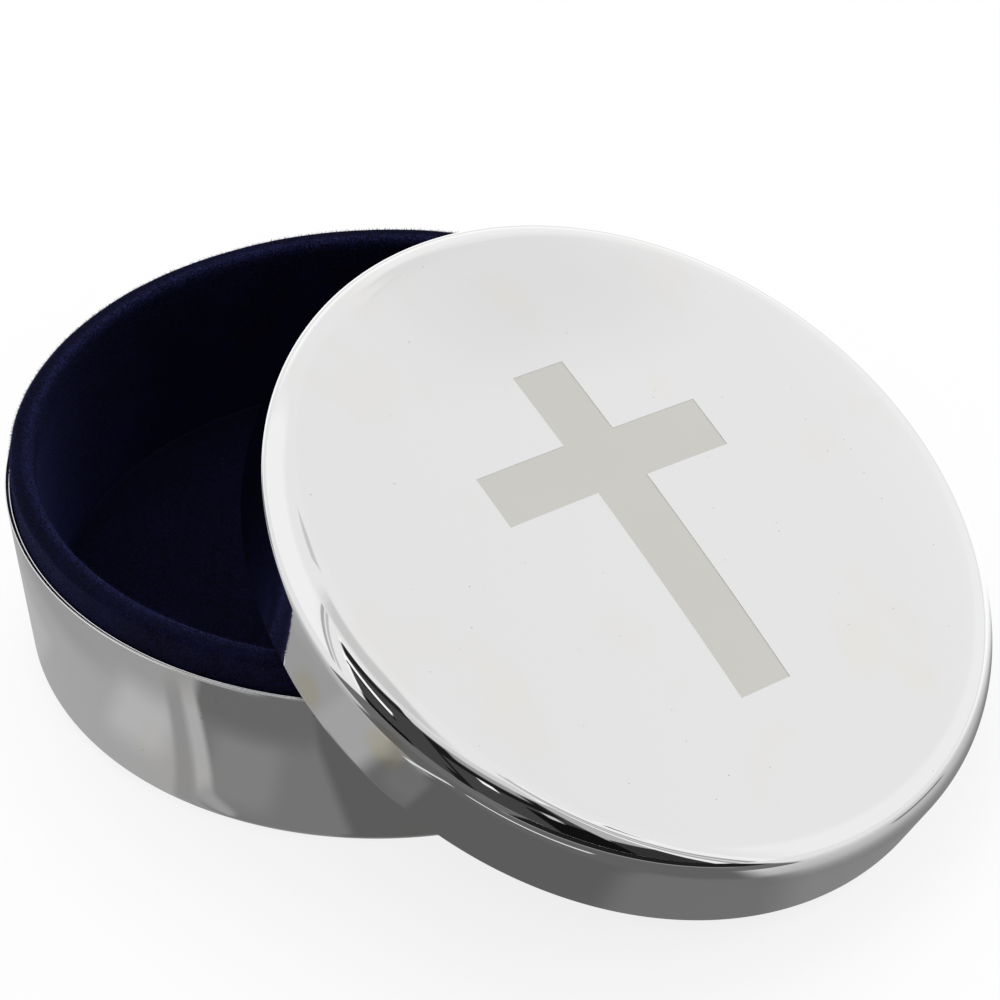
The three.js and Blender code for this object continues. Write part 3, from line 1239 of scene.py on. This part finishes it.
@dataclass
class LidShell:
    """Drawn metal lid: a very shallow dome, a rounded shoulder and a straight skirt."""

    radius: float = 44.0
    wall: float = 0.6
    skirt: float = 7.1
    shoulder: float = 4.6
    crown: float = 1.6
    cross: Cross = field(default_factory=Cross)
    turn_steps: int = 256
    steps: int = 24
    dome_steps: int = 12
    spacing: float = 1.3
    least_spacing_share: float = 0.4
    snap: float = 1e-6
    sharp: float = math.radians(60)

    @property
    def shoulder_centre(self) -> float:
        """Radius of the circle on which the shoulder's section has its centre."""
        return self.radius - self.shoulder

    @property
    def height(self) -> float:
        """Height of the lid at its middle."""
        return self.skirt + self.shoulder + self.crown

    @property
    def dome_radius(self) -> float:
        """Radius of the dome's sphere, which runs smoothly into the shoulder."""
        rise = self.shoulder + self.crown
        return (self.shoulder_centre**2 + rise**2 - self.shoulder**2) / (2 * self.crown)

    @property
    def dome_edge(self) -> float:
        """Angle off the axis at which dome and shoulder meet."""
        return math.asin(self.shoulder_centre / (self.dome_radius - self.shoulder))

    def dome_point(self, angle: float, depth: float) -> Range:
        """Point on the dome, or some depth under it, as (radius, height)."""
        reach = self.dome_radius - depth
        return (reach * math.sin(angle), self.height - self.dome_radius + reach * math.cos(angle))

    def dome_height(self, radius: float, depth: float = 0.0) -> float:
        """Height of the dome, or of a surface some depth under it, at a radius."""
        return self.height - self.dome_radius + math.sqrt((self.dome_radius - depth) ** 2 - radius**2)

    def outline(self) -> Outline:
        """Section of the shell without its plate.

        Returns:
            The points from the axis under the dome, round the skirt's edge, to the plate's edge.
        """
        spans = self.dome_steps
        under = [self.dome_point(self.dome_edge * step / spans, self.wall) for step in range(spans)]
        end = QUARTER - self.dome_edge
        edge = self.wall / 2
        centre = (self.shoulder_centre, self.skirt)
        return joined(
            under + arc(centre, self.shoulder - self.wall, end, 0.0, self.steps),
            arc((self.radius - edge, edge), edge, -math.pi, 0.0, self.steps // 2),
            arc(centre, self.shoulder, 0.0, end, self.steps),
        )

    def plate(self) -> tuple[list[Point], list[tuple[int, ...]], list[bool]]:
        """Domed plate with the cross let into it.

        Returns:
            Points in millimetres, faces, and for each face whether it is frosted.
        """
        rim = self.dome_point(self.dome_edge, 0.0)[0]
        outline = self.cross.outline()
        flat = list(outline)
        rings = math.ceil(rim / self.spacing)
        for ring in range(rings + 1):
            radius = rim * ring / rings
            count = self.turn_steps if ring == rings else max(1, round(math.tau * radius / self.spacing))
            for step in range(count):
                angle = math.tau * step / count
                point = Vector((radius * math.cos(angle), radius * math.sin(angle)))
                near = min((point - other).length for other in outline)
                if ring == rings or near > self.least_spacing_share * self.spacing:
                    flat.append(point)
        edges = [(i, (i + 1) % len(outline)) for i in range(len(outline))]
        spread, _, faces, origins, _, _ = delaunay_2d_cdt(flat, edges, [], 0, self.snap)
        middles = [sum((spread[i] for i in face), Vector((0.0, 0.0))) / len(face) for face in faces]
        frosted = [self.cross.holds(middle) for middle in middles]
        sunk = dict.fromkeys(i for face, matt in zip(faces, frosted) if matt for i in face)
        twins = {source: len(spread) + order for order, source in enumerate(sunk)}
        corners = [(p.x, p.y, self.dome_height(p.length)) for p in spread]
        for place in (spread[i] for i in sunk):
            corners.append((place.x, place.y, self.dome_height(place.length, self.cross.depth)))
        done = [tuple(twins[i] if matt else i for i in face) for face, matt in zip(faces, frosted)]
        where = {source: i for i, sources in enumerate(origins) for source in sources}
        for first, second in edges:
            a, b = where[first], where[second]
            done.append((a, b, twins[b], twins[a]))
        return corners, done, frosted + [True] * len(edges)

    def build(self, shop: Workshop, seat: Matrix) -> None:
        """Makes the polished lid with its frosted cross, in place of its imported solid.

        Args:
            shop: Finishes and recipes.
            seat: Place and turn of the lid.
        """
        around = {"Turn Steps": self.turn_steps}
        piece = shop.turned("lid_shell_polished", self.outline(), shop.finishes.metal, around)
        piece.data.materials.append(shop.finishes.frosted)
        corners, faces, frosted = self.plate()
        work = bmesh.new()
        work.from_mesh(piece.data)
        made = [work.verts.new((x * MM, y * MM, z * MM)) for x, y, z in corners]
        for face, matt in zip(faces, frosted):
            work.faces.new([made[i] for i in face]).material_index = int(matt)
        work.to_mesh(piece.data)
        work.free()
        point_outwards(piece.data, self.sharp)
        piece.data.transform(seat)
        settle(piece, Body.LID, Slot.METAL, "lid_shell")


@dataclass
class LidLining:
    """Velvet wrapped round a thin card disc and glued under the lid's dome."""

    shell: LidShell
    margin: float = 0.5
    cloth: float = 0.4
    board: float = 0.4
    gap: float = 0.15
    dome_steps: int = 12
    edge_steps: int = 6

    def outline(self) -> Outline:
        """Section of the wrapped velvet.

        Returns:
            The outline, from the axis under the velvet round its edge and back over the card.
        """
        shell, steps = self.shell, self.dome_steps
        top = shell.wall + self.gap
        inside = top + self.board + self.gap
        under = inside + self.cloth
        radius = shell.shoulder_centre - self.margin
        edge = math.asin(radius / shell.dome_radius)
        wrap = math.asin((radius - self.cloth) / shell.dome_radius)
        low = [shell.dome_point(edge * step / steps, under) for step in range(steps)]
        high = [shell.dome_point(wrap * step / steps, inside) for step in range(steps, -1, -1)]
        middle = shell.dome_point(edge, under)
        round_ = self.cloth / 2
        corner = arc((middle[0] - round_, middle[1] + round_), round_, -QUARTER, 0.0, self.edge_steps)
        return [*low, *corner, shell.dome_point(edge, top), shell.dome_point(wrap, top), *high]

    def build(self, shop: Workshop, seat: Matrix) -> None:
        """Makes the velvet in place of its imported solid.

        Args:
            shop: Finishes and recipes.
            seat: Place and turn of the lid.
        """
        piece = shop.turned("lid_velvet_cover", self.outline(), shop.finishes.velvet)
        point_outwards(piece.data)
        piece.data.transform(seat)
        settle(piece, Body.LID, Slot.VELVET, "lid_velvet")


# Sub-assemblies


@dataclass
class Base:
    """The base with its lining."""

    shell: BaseShell = field(default_factory=BaseShell)
    floor: FloorLining = field(default_factory=FloorLining)

    def build(self, shop: Workshop) -> None:
        """Builds all pieces of the base.

        Args:
            shop: Finishes and recipes.
        """
        self.shell.build(shop)
        WallLining(self.shell).build(shop)
        self.floor.build(shop.finishes)

    def dress(self, finishes: Finishes) -> None:
        """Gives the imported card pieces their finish."""
        dress_nodes(finishes.card, "wall_card_band", "floor_board")


@dataclass
class Lid:
    """The lid with its lining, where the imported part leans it."""

    shell: LidShell = field(default_factory=LidShell)
    level: float = 0.01

    def seat(self) -> Matrix:
        """Place and turn of the lid's own frame, from its packed shell and its joint's axis.

        Returns:
            The matrix from the lid's own frame to the scene's.
        """
        axis = Vector(frame["joints"][0]["axis"]).normalized()
        points = [v.co for v in frame["nodes"]["lid_shell"].data.vertices]
        lowest = min(point.dot(axis) for point in points)
        ring = [point for point in points if point.dot(axis) < lowest + self.level * MM]
        low, high = min(p.y for p in ring), max(p.y for p in ring)
        down = Vector((axis.z, 0.0, -axis.x))
        ends = [point.dot(down) for point in ring]
        middle = down * (min(ends) + max(ends)) / 2 + axis * lowest + Vector((0.0, (low + high) / 2, 0.0))
        turned_frame = Matrix((down, Vector((0.0, 1.0, 0.0)), axis)).transposed().to_4x4()
        return Matrix.Translation(middle) @ turned_frame

    def build(self, shop: Workshop) -> None:
        """Builds all pieces of the lid.

        Args:
            shop: Finishes and recipes.
        """
        seat = self.seat()
        self.shell.build(shop, seat)
        LidLining(self.shell).build(shop, seat)

    def dress(self, finishes: Finishes) -> None:
        """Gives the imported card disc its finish."""
        dress_nodes(finishes.card, "lid_board")


# Studio


@dataclass
class View:
    """Camera that sees the box as the photograph does.

    Focal length and frame width are in pixels, and the clip distances in metres.
    """

    azimuth: float = math.radians(-56.04973)
    elevation: float = math.radians(37.76327)
    distance: float = 380.544
    target: Point = (9.65963, 10.3524, 13.2)
    roll: float = math.radians(0.19075)
    focal: float = 3174.905
    frame_width: float = 1000.0
    sensor: float = 36.0
    clip: Range = (0.01, 20.0)

    def build(self) -> None:
        """Makes the camera the scene's own."""
        data = bpy.data.cameras.new("view")
        data.sensor_width = self.sensor
        data.lens = self.focal * self.sensor / self.frame_width
        data.clip_start, data.clip_end = self.clip
        camera = stand("view", data)
        flat = math.cos(self.elevation)
        east, north = flat * math.cos(self.azimuth), flat * math.sin(self.azimuth)
        back = Vector((east, north, math.sin(self.elevation)))
        right = (-back).cross(Vector((0.0, 0.0, 1.0))).normalized()
        up = right.cross(-back)
        turn_right = math.cos(self.roll) * right + math.sin(self.roll) * up
        turn_up = math.cos(self.roll) * up - math.sin(self.roll) * right
        place = Matrix.Translation((Vector(self.target) + back * self.distance) * MM)
        camera.matrix_world = place @ Matrix((turn_right, turn_up, back)).transposed().to_4x4()
        bpy.context.scene.camera = camera


@dataclass(frozen=True)
class Lamp:
    """Square lamp that points at the box and is unseen in the metal, in metres and watts."""

    name: str
    place: Point
    size: float
    power: float

    def build(self) -> None:
        """Hangs the lamp."""
        data = bpy.data.lights.new(self.name, "AREA")
        data.size = self.size
        data.energy = self.power
        lamp = stand(self.name, data)
        lamp.location = self.place
        lamp.rotation_euler = Vector(self.place).to_track_quat("Z", "Y").to_euler()
        lamp.visible_glossy = False


@dataclass(frozen=True)
class Patch:
    """Soft-edged dark or bright rectangle of the studio, as the metal mirrors it.

    The surroundings are charted in degrees round and up, the floor in degrees round and millimetres out.
    """

    round: float
    up: float
    half_round: float
    half_up: float
    shade: int
    soft: float = 1.0
    turn: float = 0.0
    soft_up: float | None = None


@dataclass
class Chart:
    """Lays patches over what the metal mirrors."""

    bench: Bench
    across: Socket
    up: Socket
    plate: PolishedPlate = field(default_factory=PolishedPlate)

    def mirrored(self, shade: float) -> float:
        """Light that polished metal shows as a shade from 0 to 255."""
        return linear(shade) / linear(self.plate.colour[0])

    def lay(self, level: Any, patches: Iterable[Patch]) -> Socket:
        """Lays patches in order.

        Args:
            level: Light so far, a number or a socket.
            patches: The patches, the lowest first.

        Returns:
            Light with all patches.
        """
        math_ = self.bench.math
        for patch in patches:
            cos, sin = math.cos(math.radians(patch.turn)), math.sin(math.radians(patch.turn))
            off = math_("SUBTRACT", self.across, patch.round)
            right = math_("WRAP", off, HALF_TURN, -HALF_TURN)
            over = math_("SUBTRACT", self.up, patch.up)
            along = math_("ADD", math_("MULTIPLY", right, cos), math_("MULTIPLY", over, sin))
            beside = math_("SUBTRACT", math_("MULTIPLY", over, cos), math_("MULTIPLY", right, sin))
            soft_up = patch.soft if patch.soft_up is None else patch.soft_up
            share: Any = 1.0
            sides = ((along, patch.half_round, patch.soft), (beside, patch.half_up, soft_up))
            for place, half, soft in sides:
                away = math_("ABSOLUTE", place)
                share = math_("MULTIPLY", share, self.bench.rise(away, half + soft, half))
            gap = math_("SUBTRACT", self.mirrored(patch.shade), level)
            level = math_("MULTIPLY_ADD", share, gap, level)
        return level


@dataclass
class Studio:
    """Pale floor, soft lamps, and a light tent with a dark opening in front that the metal mirrors.

    The floor's size is in metres.
    """

    key: Lamp = Lamp("key", (-0.45, 0.35, 0.9), 0.9, 5.5)
    fill: Lamp = Lamp("fill", (0.7, -0.5, 0.6), 0.8, 1.6)
    floor_size: float = 6.0
    floor_colour: Colour = (250, 250, 250)
    floor_glow: float = 0.82
    glow_reach: Range = (200.0, 900.0)
    open_level: float = 0.62
    near_shade: int = 160
    far_shade: int = 226
    shade_reach: Range = (60.0, 150.0)
    tent_shade: int = 229
    tent: tuple[Patch, ...] = (
        Patch(-160.0, 12.0, 26.0, 30.0, 239, 12.0),
        Patch(70.0, 0.0, 60.0, 24.0, 236, 12.0),
        Patch(128.0, -6.0, 26.0, 9.0, 248, 13.0),
        Patch(-163.0, 75.0, 13.0, 2.5, 196, 4.0, 6.0),
        Patch(75.0, 64.0, 60.0, 8.0, 227, 16.0),
        Patch(-90.0, 63.0, 26.0, 6.0, 198, 18.0, 0.0, 9.0),
        Patch(90.0, 43.0, 4.0, 2.0, 221, 7.0),
        Patch(108.0, 41.0, 15.0, 1.5, 219, 4.0, -18.0),
    )
    opening: tuple[Patch, ...] = (
        Patch(-62.0, 16.0, 53.5, 28.0, 250, 1.0),
        Patch(-62.0, 16.0, 52.0, 26.5, 64, 0.8),
        Patch(-57.0, 45.5, 23.0, 3.0, 206, 3.0),
        Patch(-99.0, 40.0, 15.0, 2.0, 30, 3.0, 12.0),
        Patch(-86.0, -5.0, 27.0, 5.0, 108, 1.2),
        Patch(-58.0, 33.0, 19.0, 5.0, 24, 1.2),
        Patch(-56.0, 38.5, 11.0, 2.0, 150, 3.0),
        Patch(-78.3, 22.0, 0.7, 16.0, 24, 0.6),
        Patch(-80.5, 5.0, 2.2, 4.5, 26, 1.6),
        Patch(-43.0, 7.0, 9.5, 15.5, 16, 1.2),
        Patch(-28.5, 30.0, 6.0, 12.0, 172, 1.4, 8.0),
        Patch(-21.5, 4.0, 10.5, 14.0, 48, 1.2),
        Patch(-106.5, 0.0, 8.0, 4.5, 14, 2.0),
        Patch(-106.0, 22.6, 9.5, 1.0, 18, 0.8, -21.0),
        Patch(-106.0, 26.6, 9.5, 2.0, 252, 0.8, -21.0),
        Patch(-63.0, 25.4, 2.2, 1.7, 246, 0.8),
        Patch(-44.5, 24.0, 1.7, 2.0, 190, 0.9),
    )
    frame_lines: tuple[Patch, ...] = (
        Patch(-12.3, 18.2, 7.0, 38.0, 238, 1.0, 18.0),
        Patch(-13.5, 12.0, 0.9, 46.0, 168, 1.0, 20.0),
        Patch(-9.5, 12.0, 0.9, 46.0, 160, 1.0, 20.0),
        Patch(-127.5, 18.0, 0.7, 32.0, 168, 0.8, -3.6),
        Patch(-124.5, 18.0, 0.5, 32.0, 186, 0.8, -3.6),
    )
    floor_marks: tuple[Patch, ...] = (
        Patch(112.0, 100.0, 67.0, 90.0, 250, 25.0),
        Patch(130.0, 55.0, 30.0, 22.0, 208, 24.0, 0.0, 30.0),
        Patch(-166.0, 138.0, 8.0, 18.0, 128, 8.0, 20.0),
        Patch(-142.0, 44.5, 8.0, 2.5, 169, 6.0, 0.0, 3.5),
        Patch(-136.0, 58.5, 10.0, 2.5, 146, 26.0, 0.0, 5.5),
        Patch(-102.5, 53.0, 3.5, 3.5, 176, 7.0, 0.0, 5.0),
        Patch(-112.0, 63.0, 20.0, 4.5, 150, 10.0, 0.0, 6.0),
        Patch(-2.0, 66.0, 26.0, 10.0, 126, 15.0),
        Patch(-62.0, 1550.0, 51.0, 1440.0, 104, 2.0),
        Patch(-58.0, 120.0, 36.5, 37.0, 96, 5.0),
        Patch(-54.0, 60.0, 17.5, 22.0, 91, 11.0, 0.0, 6.0),
        Patch(-76.0, 73.0, 5.0, 4.0, 132, 2.5),
        Patch(-76.8, 50.2, 10.4, 13.4, 115, 2.4, 30.0, 2.0),
        Patch(-80.0, 50.0, 4.0, 3.0, 126, 5.0, 0.0, 4.0),
        Patch(-80.0, 61.0, 11.0, 3.0, 102, 3.0, 0.0, 4.5),
        Patch(-89.0, 68.0, 6.0, 5.0, 160, 6.5, 0.0, 1.5),
        Patch(-92.5, 50.5, 0.7, 7.5, 140, 1.7, 34.0, 6.0),
        Patch(-84.6, 43.0, 0.2, 3.0, 138, 1.0, 74.0, 2.0),
        Patch(-89.6, 52.0, 0.7, 5.0, 168, 1.5, 34.0, 6.5),
        Patch(-82.0, 44.4, 0.2, 2.4, 150, 1.2, 72.0, 2.0),
        Patch(-71.0, 66.6, 2.7, 1.2, 108, 2.2),
        Patch(-78.0, 40.5, 38.0, 1.0, 138, 1.3),
        Patch(-25.0, 70.0, 5.5, 12.0, 109, 7.0),
        Patch(-36.0, 1600.0, 25.0, 1435.0, 30, 2.0),
        Patch(-40.0, 155.0, 22.0, 6.0, 140, 2.0),
        Patch(-73.0, 87.0, 0.7, 17.0, 216, 1.0, -6.7),
        Patch(-54.5, 104.5, 12.0, 1.8, 226, 1.2, -7.0),
        Patch(8.0, 99.0, 4.0, 2.0, 118, 2.0, -8.0),
    )

    def build(self) -> None:
        """Builds floor, lamps and world."""
        self.floor()
        self.key.build()
        self.fill.build()
        self.world()

    def floor(self) -> None:
        """Floor that stays pale to the camera, keeps the shadow, and is marked where the metal mirrors it."""
        mesh = bpy.data.meshes.new("floor")
        half = self.floor_size / 2
        corners = [(-half, -half, 0.0), (half, -half, 0.0), (half, half, 0.0), (-half, half, 0.0)]
        mesh.from_pydata(corners, [], [(0, 1, 2, 3)])
        material, bench, shader = fresh("pale_floor")
        plain = {"Base Color": rgba(self.floor_colour), "Roughness": 1.0, "Specular IOR Level": 0.0}
        bench.fill(shader, plain)
        east, north, _ = bench.split(bench.add("ShaderNodeTexCoord").outputs["Object"])
        round_ = bench.math("MULTIPLY", bench.math("ARCTAN2", north, east), DEGREES)
        out = bench.math("DIVIDE", bench.length(bench.gathered(east, north)), MM)
        chart = Chart(bench, round_, out)
        near, far = chart.mirrored(self.near_shade), chart.mirrored(self.far_shade)
        level = bench.math("MULTIPLY_ADD", bench.rise(out, *self.shade_reach), far - near, near)
        mirror = self.light(bench, chart.lay(level, self.floor_marks))
        path = bench.add("ShaderNodeLightPath").outputs
        fade = bench.rise(out, *self.glow_reach)
        fade = bench.math("MULTIPLY_ADD", fade, 1.0 - self.floor_glow, self.floor_glow)
        glow = bench.math("MULTIPLY", path["Is Camera Ray"], fade)
        seen = bench.out("ShaderNodeMixShader", {0: glow, 1: shader.outputs[0], 2: self.light(bench, 1.0)})
        both = bench.out("ShaderNodeMixShader", {0: path["Is Glossy Ray"], 1: seen, 2: mirror})
        bench.fill(material.node_tree.nodes["Material Output"], {"Surface": both})
        mesh.materials.append(material)
        stand("floor", mesh)

    def light(self, bench: Bench, strength: Any) -> Socket:
        """White light of some strength."""
        return bench.out("ShaderNodeEmission", {"Color": WHITE, "Strength": strength})

    def world(self) -> None:
        """Surroundings: white to the camera, plain grey to cloth and floor, and the tent to the metal."""
        world = bpy.data.worlds.new("studio")
        world.use_nodes = True
        bpy.context.scene.world = world
        bench = Bench(world.node_tree)
        across, ahead, up = bench.split(bench.add("ShaderNodeTexCoord").outputs["Generated"])
        round_ = bench.math("MULTIPLY", bench.math("ARCTAN2", ahead, across), DEGREES)
        chart = Chart(bench, round_, bench.math("MULTIPLY", bench.math("ARCSINE", up), DEGREES))
        level = chart.lay(chart.mirrored(self.tent_shade), (*self.tent, *self.opening, *self.frame_lines))
        path = bench.add("ShaderNodeLightPath").outputs
        mirrored = bench.out("ShaderNodeCombineColor", {0: level, 1: level, 2: level})
        seen = bench.blend(path["Is Glossy Ray"], (*[self.open_level] * 3, 1.0), mirrored)
        colour = bench.blend(path["Is Camera Ray"], seen, WHITE)
        bench.fill(world.node_tree.nodes["Background"], {"Color": colour})


def main() -> None:
    """Builds the studio and the box, and reports each piece."""
    bpy.context.scene.view_settings.view_transform = "Standard"
    View().build()
    Studio().build()
    shop = Workshop()
    for assembly in (Base(), Lid()):
        assembly.build(shop)
        assembly.dress(shop.finishes)


if __name__ == "__main__":
    logging.basicConfig(level=logging.INFO, format="%(name)s: %(message)s")
    main()
